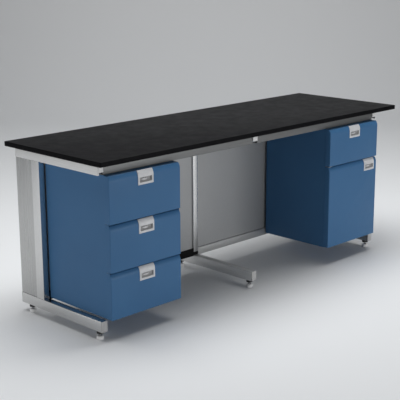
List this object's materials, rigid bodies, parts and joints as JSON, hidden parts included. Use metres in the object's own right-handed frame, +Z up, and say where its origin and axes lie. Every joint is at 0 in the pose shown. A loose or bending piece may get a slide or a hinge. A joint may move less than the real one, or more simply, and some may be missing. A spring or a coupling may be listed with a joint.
{
  "type": "teacher desk",
  "caption": "Long laboratory-style teacher desk: resin worktop on cantilever C-frames with levelling feet, a hung drawer pedestal and a hung pedestal with a drawer above a cupboard.",
  "frame": {"origin": "on the floor, below the centre of the desk's overall footprint, handles included", "axes": "+X along the desk from the drawer pedestal's end to the cupboard pedestal's end, +Y from the fronts towards the back, +Z up"},
  "size_m": [2.4, 0.7936, 0.9],
  "materials": {
    "worktop_resin": "matt black cast resin or solid-grade laminate",
    "frame_silver": "satin light grey coated steel",
    "panel_grey": "satin mid grey coated steel sheet",
    "front_blue": "blue powder coat",
    "handle_grey": "moulded light grey plastic",
    "zinc": "zinc plated",
    "box_steel": "grey coated sheet steel",
    "rail_black": "matt black coated steel",
    "nylon": "natural nylon"
  },
  "bodies": {
    "frame": {"back_panel_left": "panel_grey", "back_panel_right": "panel_grey", "cupboard_shelf": "front_blue", "door_catch": "nylon", "door_lower_pivot_bracket": "zinc", "door_upper_pivot_bracket": "zinc", "front_rail_left": "frame_silver", "front_rail_right": "frame_silver", "hanging_rail_left": "frame_silver", "hanging_rail_right": "frame_silver", "left_arm": "frame_silver", "left_arm_cover": "frame_silver", "left_column": "frame_silver", "left_column_cover": "frame_silver", "left_drawer_1_slide_left": "zinc", "left_drawer_1_slide_right": "zinc", "left_drawer_2_slide_left": "zinc", "left_drawer_2_slide_right": "zinc", "left_drawer_3_slide_left": "zinc", "left_drawer_3_slide_right": "zinc", "left_foot": "frame_silver", "left_pedestal_carcass": "front_blue", "lower_rail_left": "rail_black", "lower_rail_right": "frame_silver", "middle_arm": "frame_silver", "middle_column": "frame_silver", "middle_column_cover": "frame_silver", "middle_foot": "frame_silver", "right_arm": "frame_silver", "right_arm_cover": "frame_silver", "right_column": "frame_silver", "right_column_cover": "frame_silver", "right_drawer_slide_left": "zinc", "right_drawer_slide_right": "zinc", "right_foot": "frame_silver", "right_pedestal_carcass": "front_blue", "worktop": "worktop_resin"},
    "left_drawer_1": {"left_drawer_1_front": "front_blue", "left_drawer_1_box": "box_steel", "left_drawer_1_handle": "handle_grey"},
    "left_drawer_2": {"left_drawer_2_front": "front_blue", "left_drawer_2_box": "box_steel", "left_drawer_2_handle": "handle_grey"},
    "left_drawer_3": {"left_drawer_3_front": "front_blue", "left_drawer_3_box": "box_steel", "left_drawer_3_handle": "handle_grey"},
    "right_drawer": {"right_drawer_front": "front_blue", "right_drawer_box": "box_steel", "right_drawer_handle": "handle_grey"},
    "door": {"door_outer_panel": "front_blue", "door_inner_panel": "front_blue", "door_handle": "handle_grey", "door_upper_pivot_bush": "nylon", "door_lower_pivot_bush": "nylon"},
    "leveller_left_front": {"leveller_left_front": "zinc"},
    "leveller_left_rear": {"leveller_left_rear": "zinc"},
    "leveller_middle_front": {"leveller_middle_front": "zinc"},
    "leveller_middle_rear": {"leveller_middle_rear": "zinc"},
    "leveller_right_front": {"leveller_right_front": "zinc"},
    "leveller_right_rear": {"leveller_right_rear": "zinc"}
  },
  "joints": [
    {"name": "left_drawer_1_slide", "type": "slide", "parent": "frame", "child": "left_drawer_1", "axis": [0, -1, 0], "range_m": [0, 0.33]},
    {"name": "left_drawer_2_slide", "type": "slide", "parent": "frame", "child": "left_drawer_2", "axis": [0, -1, 0], "range_m": [0, 0.33]},
    {"name": "left_drawer_3_slide", "type": "slide", "parent": "frame", "child": "left_drawer_3", "axis": [0, -1, 0], "range_m": [0, 0.33]},
    {"name": "right_drawer_slide", "type": "slide", "parent": "frame", "child": "right_drawer", "axis": [0, -1, 0], "range_m": [0, 0.33]},
    {"name": "door_hinge", "type": "hinge", "parent": "frame", "child": "door", "pos_m": [0.5415, -0.37665, 0.355], "axis": [0, 0, -1], "range_deg": [0, 110]},
    {"name": "leveller_left_front_screw", "type": "slide", "parent": "frame", "child": "leveller_left_front", "axis": [0, 0, -1], "range_m": [0, 0.02]},
    {"name": "leveller_left_rear_screw", "type": "slide", "parent": "frame", "child": "leveller_left_rear", "axis": [0, 0, -1], "range_m": [0, 0.02]},
    {"name": "leveller_middle_front_screw", "type": "slide", "parent": "frame", "child": "leveller_middle_front", "axis": [0, 0, -1], "range_m": [0, 0.02]},
    {"name": "leveller_middle_rear_screw", "type": "slide", "parent": "frame", "child": "leveller_middle_rear", "axis": [0, 0, -1], "range_m": [0, 0.02]},
    {"name": "leveller_right_front_screw", "type": "slide", "parent": "frame", "child": "leveller_right_front", "axis": [0, 0, -1], "range_m": [0, 0.02]},
    {"name": "leveller_right_rear_screw", "type": "slide", "parent": "frame", "child": "leveller_right_rear", "axis": [0, 0, -1], "range_m": [0, 0.02]}
  ]
}
